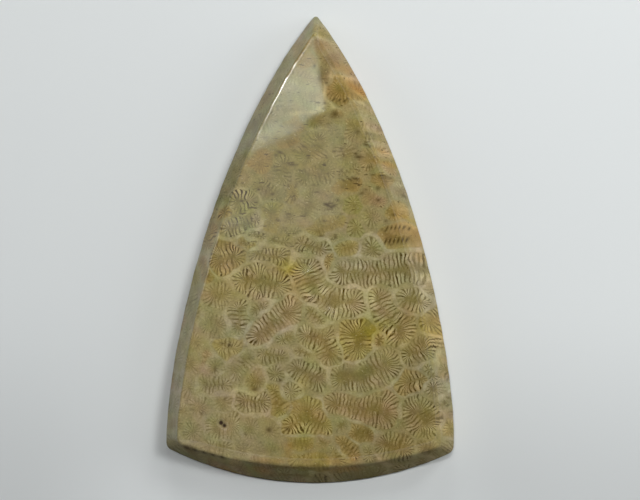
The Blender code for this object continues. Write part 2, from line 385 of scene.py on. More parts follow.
# Single dark flecks: x, y, half length, half width, angle in degrees if not 0, darkness.
FLECKS = [
    (-4.4, 5.8, 0.2, 0.13, 0.9), (-2.6, 6.6, 0.34, 0.11, 112, 0.7), (-1.85, 6.7, 0.34, 0.11, 70, 0.6),
    (-2.3, 5.4, 0.34, 0.11, 112, 0.6), (-1.95, 5.2, 0.3, 0.11, 65, 0.6), (-4.1, 8.8, 0.34, 0.11, 10, 0.6),
    (-3.9, 8.4, 0.26, 0.11, 10, 0.5), (-2.3, 9.1, 0.5, 0.16, -5, 0.8), (-1.3, 8.4, 0.34, 0.12, -8, 0.5),
    (-2.6, 3.6, 0.34, 0.12, 0.8), (-3.7, 2.9, 0.26, 0.14, 0.8), (-2.5, 3.25, 0.3, 0.11, 0.6),
    (-0.9, 3.5, 0.24, 0.11, 0.5), (-5.2, 4.0, 0.2, 0.12, 0.6), (0.1, 6.8, 0.24, 0.12, 0.6),
    (0.5, 6.05, 0.34, 0.11, 0.7), (3.2, 8.6, 0.28, 0.11, 40, 0.5), (2.75, 5.2, 0.24, 0.14, 0.8),
    (7.2, 5.3, 0.2, 0.13, 0.9), (5.4, 6.0, 0.3, 0.16, 20, 0.7), (5.85, 6.4, 0.24, 0.13, 0.6),
    (1.4, 2.9, 0.34, 0.11, 0.7), (3.3, 3.7, 0.24, 0.12, 0.6), (2.8, 3.3, 0.24, 0.12, 0.6),
    (1.0, 1.25, 0.34, 0.12, 0.8), (2.6, 1.1, 0.16, 0.28, 0.6), (9.6, 6.1, 0.18, 0.13, 0.7),
    (8.1, 3.0, 0.18, 0.14, 0.8), (8.95, 3.7, 0.24, 0.14, 0.8), (7.2, 6.6, 0.3, 0.26, 0.7),
    (0.0, 20.0, 0.15, 0.2, 0.9), (2.4, 14.7, 0.28, 0.2, 0.6), (1.25, 15.9, 0.2, 0.14, 0.8),
    (1.0, 15.3, 0.16, 0.12, 0.6), (-4.7, 14.8, 0.12, 0.22, 0.7), (-4.0, 15.2, 0.12, 0.18, 0.6),
    (-3.8, 16.1, 0.12, 0.16, 0.5), (-1.7, 15.1, 0.14, 0.12, 0.5), (-3.5, 13.3, 0.34, 0.12, -20, 0.7),
    (-2.7, 12.6, 0.28, 0.12, 0.6), (-5.4, 12.0, 0.36, 0.12, 0.6), (5.8, 11.4, 0.32, 0.13, -10, 1.0),
    (6.25, 11.2, 0.18, 0.12, 0.8), (5.0, 10.0, 0.45, 0.16, 1.0), (4.7, 10.35, 0.22, 0.15, 0.8),
    (3.1, 10.8, 0.2, 0.26, 0.6), (3.35, 10.2, 0.15, 0.24, 0.7), (-3.6, 10.4, 0.4, 0.15, -20, 0.9),
    (-4.1, 10.1, 0.22, 0.15, 0.7), (-1.0, 11.1, 0.32, 0.11, 0.5), (0.2, 11.2, 0.32, 0.11, 0.5),
    (2.3, 10.6, 0.22, 0.15, 0.6), (3.3, 12.0, 0.32, 0.12, 0.5), (4.9, 12.8, 0.26, 0.2, 0.6),
    (6.0, 12.6, 0.32, 0.15, 0.6), (-0.5, 9.8, 0.32, 0.11, 0.5), (1.5, 9.9, 0.24, 0.12, 0.5),
    (-4.4, -20.1, 0.28, 0.24, 0.8), (-10.4, -13.6, 0.13, 0.38, 0.6), (-11.8, -18.4, 0.16, 0.2, 0.6),
    (-12.9, -18.0, 0.32, 0.11, 0.5), (-2.4, -20.0, 0.26, 0.22, 0.8), (-7.0, -20.6, 0.22, 0.2, 0.5),
    (-9.3, -16.8, 0.2, 0.26, 0.4), (-8.85, -10.9, 0.32, 0.2, 0.9), (-9.7, -10.7, 0.3, 0.13, 0.7),
    (-6.0, -10.5, 0.26, 0.22, 30, 0.9), (-3.3, -14.7, 0.3, 0.14, 20, 0.6), (-6.0, -15.7, 0.45, 0.2, 0.7),
    (3.4, 7.4, 0.42, 0.12, -28, 0.8), (4.0, 7.55, 0.48, 0.12, -30, 0.9), (4.55, 7.6, 0.45, 0.12, -30, 0.9),
    (5.0, 7.5, 0.32, 0.11, -40, 0.6), (7.8, 8.0, 0.42, 0.11, 0.9), (7.7, 7.7, 0.45, 0.1, 0.7),
    (8.1, 7.35, 0.34, 0.1, 5, 0.6), (1.5, 4.75, 0.3, 0.13, -10, 1.0), (2.0, 4.85, 0.3, 0.12, 0.9),
    (1.9, 4.5, 0.45, 0.13, -15, 1.0), (2.4, 4.6, 0.26, 0.13, 20, 0.9), (1.9, 4.2, 0.34, 0.11, 0.8),
    (0.3, 13.1, 0.3, 0.12, 0.5), (1.6, 8.1, 0.3, 0.12, 0.5), (6.2, 8.9, 0.3, 0.14, 10, 0.6),
]

# Rows of parallel dark dashes: from x, y to x, y, how many, half length, half width, degrees, darkness.
DASH_ROWS = [
    ((8.25, 2.2), (10.5, 2.4), 6, 0.3, 0.1, 66, 1.0), ((8.1, 0.75), (10.4, 0.95), 6, 0.42, 0.11, 68, 1.1),
    ((7.7, 2.05), (8.0, 1.9), 2, 0.18, 0.1, 20, 0.7),
    ((-11.3, -15.3), (-9.5, -15.3), 5, 0.28, 0.09, 88, 0.5),
    ((-7.6, -17.3), (-4.9, -17.4), 8, 0.34, 0.09, 92, 0.5),
    ((6.6, 8.05), (8.4, 7.9), 3, 0.3, 0.09, 8, 0.7),
    ((-13.6, -22.2), (-9.6, -23.2), 5, 0.34, 0.16, -15, 0.8),
    ((2.2, 16.3), (3.4, 16.2), 3, 0.35, 0.1, 35, 0.9),
]

TINTS = {
    "tan": (1.0, 1.0, 1.0), "pink": (1.08, 0.97, 0.99), "brown": (1.04, 0.9, 0.7),
    "gold": (1.06, 1.0, 0.73), "orange": (1.08, 0.93, 0.6), "yellow": (1.1, 1.04, 0.55),
    "grey": (0.98, 1.0, 1.06), "green": (0.92, 1.02, 0.75), "pale": (1.12, 1.16, 1.22),
    "dim": (0.86, 0.82, 0.8), "cream": (1.5, 1.48, 1.58), "dark": (0.74, 0.64, 0.45),
    "rust": (1.12, 0.88, 0.62), "olive": (0.84, 0.86, 0.55),
    "haze": (1.12, 1.1, 1.36), "light": (1.12, 1.12, 1.14),
    # shade and shadow are painted shade
    "shade": (0.84, 0.82, 0.82), "shadow": (0.85, 0.84, 0.62),
}

# Patches that cross the corallites, by tint: x, y, radius, strength. Most are stains; those of shade and
# shadow are painted shade, and those of haze and light make the rock paler, and for haze bluer.
STAINS_AND_PAINTED_SHADE = {
    "haze": [(-9.5, -18.0, 6.5, 0.9), (-3.5, -9.0, 3.5, 0.4), (7.0, 5.0, 2.5, 0.4), (4.0, 18.5, 2.0, 0.5),
             (-14.5, -15.5, 2.2, 0.8), (10.5, 2.0, 2.0, 0.5), (1.4, 17.2, 1.5, 0.6), (2.2, 20.3, 2.0, 0.5),
             (5.0, -3.5, 3.2, 0.5), (3.5, 2.5, 2.5, 0.4)],
    "light": [(0.5, -5.0, 4.5, 0.8), (5.0, 15.0, 2.5, 0.6), (13.3, -9.8, 1.8, 1.6), (4.2, -5.5, 3.0, 0.7),
              (-11.0, -10.5, 2.5, 0.7), (5.5, -14.8, 3.0, 0.6), (-8.5, -5.0, 2.5, 0.6),
              (4.2, -19.2, 1.5, 0.7), (1.2, -12.0, 2.2, 0.5), (1.2, 14.6, 1.5, 0.8), (2.0, 17.5, 1.8, 0.9),
              (4.3, 14.3, 1.8, 0.9)],
    # painted shade, darkening the lower right of the face
    "shade": [(8.8, -21.5, 4.6, 1.2), (11.5, -11.0, 5.0, 0.5), (13.0, -19.2, 1.8, 0.6),
              (11.8, -15.6, 2.0, 0.6), (10.6, -7.3, 1.5, 0.8)],
    "yellow": [(-2.5, -2.3, 0.9, 0.9), (7.2, -9.2, 1.3, 0.8), (-0.9, -14.9, 1.0, 0.5)],
    "olive": [(5.9, -9.2, 1.4, 0.9), (-8.0, 3.5, 2.8, 1.0)],
    "green": [(-6.6, -14.1, 1.0, 0.4)],
    "brown": [(3.5, 18.1, 1.9, 0.6), (-10.8, 1.8, 1.8, 0.6), (10.3, 3.2, 1.2, 0.4), (-1.6, -4.0, 1.5, 0.7),
              (10.5, -7.3, 1.3, 0.6)],
    "orange": [(9.4, -21.6, 1.5, 0.5), (4.9, 18.3, 0.9, 0.3), (14.4, -9.6, 1.6, 0.9),
               (14.9, -12.8, 1.3, 0.9), (13.4, -3.2, 1.6, 0.5)],
    "gold": [(1.0, -23.2, 2.2, 0.5), (8.4, 10.4, 1.5, 0.3), (5.6, 14.6, 2.2, 0.3)],
    "pink": [(1.9, 21.4, 1.6, 0.7), (-6.9, 8.3, 1.6, 0.6), (-0.3, 4.3, 1.9, 0.4)],
    # painted shade on the face below the tip's facets
    "shadow": [(-4.5, 7.5, 6.0, 0.7), (-1.0, 12.0, 3.5, 1.0)],
}

# Streaks of another colour, by tint, on the face and on the walls where they cross the grain:
# x, y, half length, half width, angle in degrees if not 0, strength.
STREAKS = {
    "cream": [(0.9, 23.3, 0.8, 0.25, -5, 0.7), (3.2, 18.95, 1.5, 0.18, 1.0),
              (1.75, 19.3, 0.5, 0.2, 70, 0.5), (1.2, 17.3, 1.2, 0.18, 95, 1.0),
              (2.2, 15.5, 0.9, 0.18, -42, 0.9), (5.0, 16.3, 0.6, 0.2, -10, 0.7),
              (-1.8, 14.75, 1.2, 0.2, 5, 0.8), (0.2, 15.1, 0.9, 0.2, 25, 0.8),
              (0.6, 13.1, 1.0, 0.14, 5, 0.6), (5.0, 17.3, 0.8, 0.2, -15, 0.8), (6.6, 13.1, 1.2, 0.25, 0.5),
              (7.6, 11.6, 1.2, 0.3, 0.5), (7.8, 10.6, 1.3, 0.25, 0.8), (9.2, 7.3, 1.1, 0.2, 0.6),
              (10.2, 4.6, 1.0, 0.55, 0.7), (11.0, 2.9, 0.9, 0.2, 0.6), (12.5, -3.0, 0.9, 0.5, 0.5),
              (13.6, -7.6, 0.8, 0.5, 0.5), (15.0, -15.0, 0.8, 0.4, 0.5), (14.3, -19.8, 0.9, 0.5, 0.5),
              (-8.4, -23.4, 1.2, 0.3, -8, 0.6)],
    "dim": [(0.6, 22.2, 0.9, 0.6, 0.5), (1.9, 20.9, 0.9, 0.6, -10, 0.6), (0.9, 18.8, 0.6, 0.6, 0.6),
            (8.9, 7.7, 1.2, 0.16, 0.6), (9.4, 5.4, 1.2, 0.2, 0.4), (13.3, -6.2, 0.8, 0.4, 0.5),
            (15.1, -17.8, 0.8, 0.5, 0.5), (-6.9, 13.3, 0.4, 0.5, 0.8), (-7.1, 11.7, 0.4, 0.4, 0.8),
            (-9.6, 6.3, 0.5, 0.7, 0.5), (-12.9, -4.2, 0.5, 0.6, 0.5)],
    "rust": [(3.0, 20.0, 1.0, 0.5, -20, 0.8), (4.7, 17.9, 0.9, 0.35, -20, 0.9), (7.4, 10.9, 0.9, 0.15, 0.6),
             (11.3, 1.8, 0.9, 0.6, 0.2), (12.0, -0.6, 0.9, 0.5, 0.8), (3.5, -23.4, 1.6, 0.45, 3, 0.7),
             (3.8, -24.3, 1.8, 0.25, 5, 0.9), (-5.6, -24.5, 1.2, 0.3, -8, 0.7),
             (-2.3, -22.4, 0.5, 0.7, 0.6)],
    "olive": [(3.3, 17.5, 1.7, 1.0, 0.5), (4.2, 13.6, 1.1, 0.6, 10, 0.7), (2.6, 21.9, 0.35, 0.2, -50, 0.8),
              (7.0, 12.2, 1.2, 0.2, 0.5), (7.4, 9.8, 1.2, 0.2, 5, 0.6), (-0.8, -21.5, 0.8, 0.6, 0.6),
              (-6.3, -14.9, 0.5, 0.8, 0.6), (-2.6, -2.3, 0.7, 0.7, 0.7)],
    "dark": [(3.2, 16.8, 1.3, 0.7, 0.4), (2.3, 14.7, 0.55, 0.45, 0.5), (-2.5, -24.2, 2.4, 0.18, 0.8),
             (-1.5, -25.0, 3.5, 0.16, 0.6), (-13.2, -22.4, 0.5, 0.3, -20, 0.8),
             (-6.2, -15.6, 0.4, 0.25, 0.6)],
    "pink": [(4.2, 15.5, 1.0, 0.5, 0.5), (8.9, 8.7, 1.1, 0.35, 0.6), (9.5, 6.5, 1.2, 0.35, 0.5),
             (0.5, -21.6, 0.5, 0.7, 0.5)],
    "orange": [(8.2, 9.5, 1.4, 0.25, 0.9)],
    "yellow": [(10.5, 3.6, 1.0, 0.2, 0.7)],
    "brown": [(9.2, 4.1, 0.8, 0.7, 0.6), (-10.6, 4.0, 0.6, 0.5, 0.6), (-4.0, -23.4, 1.2, 0.35, 0.7)],
    "grey": [(-4.5, 18.0, 0.8, 0.5, 30, 0.4)],
    "haze": [(-9.5, -24.3, 2.5, 0.3, -14, 0.6)],
}


def waves(points, length, seed, count=14):
    """Smooth noise of about unit size: plane waves of random direction and about that length."""
    rng = np.random.default_rng(seed)
    direction = rng.normal(size=(count, points.shape[1]))
    direction /= lengths(direction)[:, None]
    turns = 2 * math.pi / (length * rng.uniform(0.6, 1.6, count))
    phase = rng.uniform(0, 2 * math.pi, count)
    return np.sin(points @ (direction * turns[:, None]).T + phase).sum(1) * math.sqrt(2 / count)


def moved(points, distance, length, seed, second_length=None):
    """Points of a plane, each moved about that distance by waves of that length."""
    along_x, along_y = waves(points, length, seed), waves(points, second_length or length, seed + 1)
    return points + distance * np.stack((along_x, along_y), 1)


def clearness(x, y):
    """How clearly the gaps of the smaller corallites show in each region of the stone."""
    upper = ramp(y, -2.0, 5.0)
    left_foot = ramp(-y, 8.0, 12.0) * ramp(-x, 1.0, 5.0)
    return 0.62 - 0.30 * upper - 0.28 * left_foot


def distance_to(discs, points):
    """(distance outside the swept discs, distance from their middle line, distance round the wall,
    length of the wall)."""
    discs = np.array(discs, float)
    if len(discs) == 1:
        discs = np.concatenate((discs, discs + LONE_DISC_STEP))
    steps = lengths(np.diff(discs[:, :2], axis=0))
    total = steps.sum()
    wall = 2 * total + math.pi * (discs[0, 2] + discs[-1, 2])
    best = np.full(len(points), np.inf)
    middle, around = np.zeros(len(points)), np.zeros(len(points))
    passed = 0.0
    for start, end, length in zip(discs[:-1], discs[1:], steps):
        way = (end - start)[:2] / length
        from_start = points - start[:2]
        share = np.clip(from_start @ way / length, 0, 1)
        radius = start[2] + share * (end[2] - start[2])
        off = from_start - share[:, None] * length * way
        away = lengths(off)
        angle = np.arctan2(way[0] * off[:, 1] - way[1] * off[:, 0], off @ way)
        along = passed + share * length
        left = along + radius * (math.pi / 2 - angle)
        right = 2 * total - along + math.pi * discs[-1, 2] - radius * (math.pi / 2 + angle)
        nearer = away - radius < best
        best = np.where(nearer, away - radius, best)
        middle = np.where(nearer, away, middle)
        around = np.where(nearer, np.where(angle >= 0, left, right), around)
        passed += length
    return best, middle, around, wall


def filled(corallites):
    """The corallites with smaller ones packed into every space that they leave.

    Each takes a spot with room for it and, where it can, a second one further into the space."""
    rng = np.random.default_rng(11)
    spots = np.column_stack([rng.uniform(low, high, PACKING_SPOTS) for low, high in PACKING_AREA])
    room = np.full(len(spots), np.inf)
    for discs, _, _ in corallites:
        room = np.minimum(room, distance_to(discs, spots)[0])
    added = []
    for least, most in PACKING_RADII:
        for index in range(len(spots)):
            if room[index] < least:
                continue
            x, y = spots[index]
            radius = min(room[index] + 0.05, rng.uniform(least, most))
            discs = [(x, y, radius)]
            away = spots - spots[index]
            if y > ROWS_ABOVE:
                away = away @ ROWS
            away = lengths(away)
            near = np.flatnonzero((away < 2.6 * radius) & (room > 0.72 * radius))
            if len(near):
                mate = near[np.argmax(room[near] + 0.35 * away[near])]
                discs.append((*spots[mate], min(room[mate] + 0.03, radius)))
            clear = clearness(x, y) * rng.uniform(0.5, 1.35)
            added.append((discs, clear, str(rng.choice(SMALL_TINTS))))
            room = np.minimum(room, distance_to(discs, spots)[0])
    return corallites + added


def coral_at(points, corallites):
    """Where each point of a flat cut lies in its corallite.

    depth is measured from the face of the wall into the corallite, inward is the share of the way
    from there to the middle, and phase counts the septa round the wall, period of them in all."""
    points = moved(points, 0.07, 1.7, 5)
    nearest, second = (np.full(len(points), FAR) for _ in range(2))
    owner, neighbour = (np.zeros(len(points), int) for _ in range(2))
    middle, phase, period = (np.zeros(len(points)) for _ in range(3))
    for index, (discs, _, _) in enumerate(corallites):
        xs, ys, radii = zip(*discs)
        margin = max(radii) + REACH
        inside = np.flatnonzero(
            (points[:, 0] > min(xs) - margin) & (points[:, 0] < max(xs) + margin)
            & (points[:, 1] > min(ys) - margin) & (points[:, 1] < max(ys) + margin))
        if not len(inside):
            continue
        distance, off, around, wall = distance_to(discs, points[inside])
        septa = round(wall / SEPTUM_SPACING)
        before = nearest[inside]
        closer = distance < before
        next_to = ~closer & (distance < second[inside])
        neighbour[inside] = np.where(closer, owner[inside], np.where(next_to, index, neighbour[inside]))
        second[inside] = np.where(closer, before, np.minimum(second[inside], distance))
        nearest[inside] = np.where(closer, distance, before)
        took = inside[closer]
        owner[took] = index
        middle[took] = off[closer]
        phase[took] = around[closer] * septa / wall
        period[took] = septa
    thickness = WALL_HALF * (1 + 0.35 * waves(points, 3.0, 7))
    depth = np.minimum((second - nearest) / 2 - thickness, SWELL - nearest)
    inward = depth / np.maximum(depth + middle, 0.05)
    return {"owner": owner, "neighbour": neighbour, "depth": depth, "inward": inward,
            "phase": phase, "period": period}


def bump_at(points, x, y, half_length, half_width, degrees=0):
    """1 at the middle of an oval mark, falling smoothly to 0 beyond it."""
    off = (points - (x, y)) @ rotation(-math.radians(degrees)) / (half_length, half_width)
    return np.exp(-(off**2).sum(1))


def marks_at(points):
    """How dark the flecks and the dashes are at each point."""
    marks = sum(dark * bump_at(points, *fleck) for *fleck, dark in FLECKS)
    for start, end, count, *shape, dark in DASH_ROWS:
        for x, y in np.linspace(start, end, count):
            marks = marks + dark * bump_at(points, x, y, *shape)
    return np.minimum(marks, 1)


def tints_at(points, coral, corallites):
    """The colour of the rock at each point, as a factor on its plain colour, with some painted shade among
    the stains.
    """
    own = np.array([TINTS[tint] for _, _, tint in corallites])[coral["owner"]]
    light = np.random.default_rng(23).normal(1.0, 0.035, len(corallites))[coral["owner"]]
    in_corallite = ramp(coral["depth"], -0.12, 0.15)[:, None]
    tint = 1 + (own * light[:, None] - 1) * in_corallite * 0.8
    ragged = 0.175 * waves(points, 1.3, 31)
    # Stains, and the painted shade of the shade and shadow patches.
    for name, stains_or_shades in STAINS_AND_PAINTED_SHADE.items():
        for x, y, radius, strength in stains_or_shades:
            away = lengths(points - (x, y)) + ragged * radius
            stain_or_shade = strength * np.exp(-(np.maximum(away, 0) / radius) ** 2)[:, None]
            tint *= 1 + (np.array(TINTS[name]) - 1) * stain_or_shade
    frayed = moved(points, 0.06, 1.0, 33, 0.8)
    for name, streaks in STREAKS.items():
        for *shape, strength in streaks:
            streak = bump_at(frayed, *shape)[:, None]
            tint *= 1 + (np.array(TINTS[name]) - 1) * strength * streak * (2 - streak)
    warm = waves(points, 9.0, 41)[:, None] * (0.020, 0.0, -0.045)
    mottle = waves(points, 2.6, 43)[:, None] * 0.034 + waves(points, 1.1, 44)[:, None] * 0.034
    rosy = waves(points, 2.6, 45)[:, None] * (0.022, -0.010, 0.030)
    dim = 1 - 0.07 * ramp(points[:, 1:], -3, 6)
    return tint * (1 + warm + mottle + rosy) * dim


# ---- The stone ----

# Open pits in the polish: x, y, radius, depth.
PITS = [(-9.67, -19.42, 0.31, 0.14), (-9.3, -19.72, 0.29, 0.13)]
DEEPEST_PIT = 0.14
PIT_HEIGHT = CROWN_HEIGHT - 0.1  # height of the face there

# Painted reflection and light on the walls, as changes of the tint: low on the walls a bluer painted
# reflection of the pale floor; where the surface faces left a greyer painted reflection; where it faces
# right painted light, lighter and bluer.
LOW_PAINTED_REFLECTION, LEFT_PAINTED_REFLECTION, RIGHT_PAINTED_LIGHT = (-0.02, 0, 0.12), (-0.06, -0.01, 0.10), (0.07, 0.08, 0.24)


def flat_cut(points):
    """Where each point lies in a flat cut at the crown's height, since the coral leans and drifts."""
    below = CROWN_HEIGHT - points[:, 2]
    cut = points[:, :2] - below[:, None] * LEAN
    return moved(cut, 0.2 * ramp(below, 1.5, 5.0)[:, None], 6.0, 51)


def pits_at(points):
    """1 at the middle of the deepest pit, less in the others, and 0 away from them."""
    pit = np.zeros(len(points))
    for x, y, radius, depth in PITS:
        away = lengths(points - (x, y, PIT_HEIGHT))
        pit = np.maximum(pit, np.exp(-(away / radius) ** 2) * (depth / DEEPEST_PIT))
    return pit


def clear_at(cut, clear):
    """How clearly the gaps show at each point, from how clearly they show in its corallite."""
    clear = clear * (1 + 0.25 * waves(cut, 2.4, 61))
    for x, y, radius, change in EMPHASIS:
        clear = np.maximum(clear + change * bump_at(cut, x, y, radius, radius), 0)
    return clear


def gloss_at(points, part, near_rim):
    """How well each point is polished: less on the right wall and the foot wall, and below the facets."""
    worn_side = np.maximum(ramp(points[:, 0], 0.1, 0.8), ramp(-points[:, 1], 21.0, 22.0))
    gloss = np.where(part == FACE, 1 - near_rim * worn_side, 1 - worn_side)
    below_facets = ramp(-above_facet_line(points), -0.5, 1.2) * ramp(-points[:, 0], -6.0, -1.0)
    return np.minimum(gloss, 1 - 0.45 * below_facets * ramp(points[:, 1], -1.0, 5.0))


def relief_at(points, part, pit, near_rim):
    """How far the surface lies above its plain form: mostly a little below it, and further in the pits."""
    polished = (0.002 * (waves(points, 3.5, 81) - 2.5) - DEEPEST_PIT * pit) * (1 - near_rim)
    ground = 0.012 * (waves(points, 1.6, 82) - 2.5)
    return np.where(part == FACE, polished, ground)


def vertex_normals(points, triangles):
    normals = np.zeros_like(points)
    a, b, c = (points[triangles[:, k]] for k in range(3))
    face_normals = np.cross(b - a, c - a)
    for k in range(3):
        np.add.at(normals, triangles[:, k], face_normals)
    return normals / lengths(normals)[:, None]


def unbroken_phase(coral, triangles):
    """The phase at each triangle's corners, without the jump where a wall's count starts again."""
    phase = coral["phase"][triangles]
    period = np.maximum(coral["period"][triangles[:, :1]], 1)
    return phase + period * np.round((phase[:, :1] - phase) / period)


def add_object(name, data):
    thing = bpy.data.objects.new(name, data)
    bpy.context.scene.collection.objects.link(thing)
    return thing


def store(mesh, name, values, kind="FLOAT", domain="POINT", key="value"):
    attribute = mesh.attributes.new(name, kind, domain)
    attribute.data.foreach_set(key, values.astype(np.float32).ravel())


def stone_object():
    points, triangles, part = stone_surface()
    cut = flat_cut(points)
    corallites = filled(CORALLITES)
    coral = coral_at(cut, corallites)
    own_clear = np.array([clear for _, clear, _ in corallites])
    clearest = np.maximum(own_clear[coral["owner"]], own_clear[coral["neighbour"]])
    chances = np.random.default_rng(71).uniform(0, 1, len(corallites))
    pit = pits_at(points)
    near_rim = ramp(dome_share(points[:, :2], outline(ARRIS)), 0.95, 0.972)
    gloss = gloss_at(points, part, near_rim)
    relief = relief_at(points, part, pit, near_rim)
    normals = vertex_normals(points, triangles)
    points = points + normals * np.minimum(relief, 0)[:, None]
    points[:, 2] = np.where(part == BACK, np.abs(relief), np.maximum(points[:, 2], 0))

    tint = tints_at(cut, coral, corallites)
    # Painted light and reflection: the walls' tint changes with the way they face.
    for facing, change in ((-normals[:, 0], LEFT_PAINTED_REFLECTION), (normals[:, 0], RIGHT_PAINTED_LIGHT)):
        tint = tint * (1 + ramp(facing, 0.4, 0.8)[:, None] * change)
    # Painted reflection of the floor, low on the walls.
    tint = tint * (1 + ramp(points[:, 2:], 2.5, 0.5) * LOW_PAINTED_REFLECTION)

    mesh = bpy.data.meshes.new("fossil_coral")
    mesh.from_pydata((points * MM).tolist(), [], triangles.tolist())
    mesh.shade_smooth()
    per_point = {
        "depth": coral["depth"], "inward": coral["inward"], "cell": chances[coral["owner"]],
        "clear": clear_at(cut, own_clear[coral["owner"]]), "contrast": ramp(clearest, 0.1, 0.95),
        "fleck": marks_at(cut), "flecked": 0.35 + 0.65 * ramp(points[:, 1], -4, 4),
        "pit": pit, "gloss": gloss,
    }
    for name, values in per_point.items():
        store(mesh, name, values)
    store(mesh, "phase", unbroken_phase(coral, triangles), domain="CORNER")
    store(mesh, "tint", np.column_stack((tint, np.ones(len(points)))), "FLOAT_COLOR", key="color")
    mesh.materials.append(stone_material("polished_fossil_coral", True))
    mesh.materials.append(stone_material("ground_fossil_coral", False))
    on_face = (points[:, 2] > ARRIS_HEIGHT - 0.3)[triangles].all(1)
    mesh.polygons.foreach_set("material_index", (~on_face).astype(np.int32))
    return add_object("fossil_coral_stone", mesh)


# ---- Materials ----

def linear(red, green, blue):
    """A colour given as 0 to 255 on screen, in linear light."""
    shares = [value / 255 for value in (red, green, blue)]
    return (*(s / 12.92 if s <= 0.04045 else ((s + 0.055) / 1.055) ** 2.4 for s in shares), 1.0)


SEPTUM_COLOUR = linear(151, 138, 88)
RIDGE_COLOUR = linear(190, 175, 127)
WALL_COLOUR = linear(180, 166, 121)
CENTRE_COLOUR = linear(130, 115, 63)
GAP_COLOUR = linear(72, 54, 8)
PIT_COLOUR = linear(52, 34, 14)
SPECK_COLOUR = linear(78, 61, 28)
BOARD_COLOURS = (0.78, 0.80, 0.81, 1), (0.80, 0.82, 0.82, 1)
BLACK = (0, 0, 0, 1)

# Each gap between two septa draws its own values between these.
HALF_WIDTHS = 0.16, 0.28  # at the wall, as shares of the septum spacing
LENGTHS = 0.40, 1.15  # as shares of the way from the wall to the middle of the corallite
DARKNESS = 0.44, 0.82
NARROWING = 0.10  # how much half a gap narrows from the wall to the middle
WOBBLE = 0.13  # how far a gap wavers to each side, as a share of the septum spacing
GAP_EDGE = 0.12  # the softness of a gap's sides
FAINT_REST = 0.55  # how much of a gap shows beyond its own length

POLISHED_ROUGHNESS, GROUND_ROUGHNESS = (0.11, 0.17), (0.40, 0.52)
PIT_DULLNESS, WORN_DULLNESS = 0.8, 0.75  # added to the roughness
STONE_IOR = 1.54
BUMP_HEIGHT = 0.008


class Nodes:
    """Adds linked nodes to one material."""

    def __init__(self, material):
        material.use_nodes = True
        self.tree = material.node_tree
        self.shader = self.tree.nodes["Principled BSDF"]

    def feed(self, socket, value):
        if isinstance(value, bpy.types.NodeSocket):
            self.tree.links.new(value, socket)
        else:
            socket.default_value = value

    def put(self, kind, inputs, **settings):
        made = self.tree.nodes.new("ShaderNode" + kind)
        for name, value in settings.items():
            setattr(made, name, value)
        for key, value in inputs.items():
            self.feed(made.inputs[key], value)
        return made

    def stored(self, name, output="Fac"):
        return self.put("Attribute", {}, attribute_name=name).outputs[output]

    def place(self):
        return self.put("TexCoord", {}).outputs["Object"]

    def maths(self, operation, *values):
        return self.put("Math", dict(enumerate(values)), operation=operation).outputs[0]

    def product(self, first, *others):
        for other in others:
            first = self.maths("MULTIPLY", first, other)
        return first

    def ramp(self, value, low, high, out_low=0.0, out_high=1.0):
        inputs = {"Value": value, "From Min": low, "From Max": high, "To Min": out_low, "To Max": out_high}
        return self.put("MapRange", inputs, interpolation_type="SMOOTHSTEP").outputs[0]

    def blend(self, share, first, second, blend_type="MIX"):
        made = self.put("Mix", {0: share, 6: first, 7: second},
                        data_type="RGBA", blend_type=blend_type)
        return made.outputs[2]

    def noise(self, scale, detail=2.0, place=None, roughness=0.5):
        """Noise of that many features a millimetre."""
        inputs = {"Vector": place or self.place(), "Scale": scale / MM, "Detail": detail,
                  "Roughness": roughness}
        return self.put("TexNoise", inputs).outputs["Fac"]


def gap_and_ridge(n):
    """How dark the gap between two septa is at each point, and how pale the ridge of a septum."""
    depth, inward = n.stored("depth"), n.stored("inward")
    wobble = n.ramp(n.noise(1.7), 0.25, 0.75, -WOBBLE, WOBBLE)
    phase = n.maths("ADD", n.stored("phase"), wobble)
    across = n.maths("ABSOLUTE", n.maths("SUBTRACT", n.maths("FRACT", phase), 0.5))
    number = n.put("CombineXYZ", {0: n.maths("FLOOR", phase), 1: n.stored("cell")}).outputs[0]
    chance = n.put("TexWhiteNoise", {"Vector": number}, noise_dimensions="3D").outputs["Color"]
    picks = n.put("SeparateColor", {0: chance}).outputs

    half_width = n.maths("SUBTRACT", n.ramp(picks[0], 0, 1, *HALF_WIDTHS), n.product(inward, NARROWING))
    open_across = n.ramp(n.maths("SUBTRACT", half_width, across), -GAP_EDGE, GAP_EDGE)
    length = n.ramp(picks[1], 0, 1, *LENGTHS)
    open_along = n.maths("MAXIMUM", n.ramp(n.maths("SUBTRACT", length, inward), -0.02, 0.20),
                         n.ramp(inward, 0.97, 0.80, 0.0, FAINT_REST))
    patchy = n.ramp(n.noise(0.9, 4.0, roughness=0.7), 0.36, 0.60, 0.28, 1.12)
    showing = n.product(n.ramp(depth, 0.0, 0.10), n.product(n.stored("clear"), patchy))
    gap = n.product(n.product(open_across, n.product(open_along, showing)),
                    n.ramp(picks[2], 0, 1, *DARKNESS))
    ridge = n.product(n.maths("SUBTRACT", 1.0, open_across),
                      n.product(showing, n.ramp(inward, 0.6, 1.0, 1.0, 0.35)))
    return gap, ridge


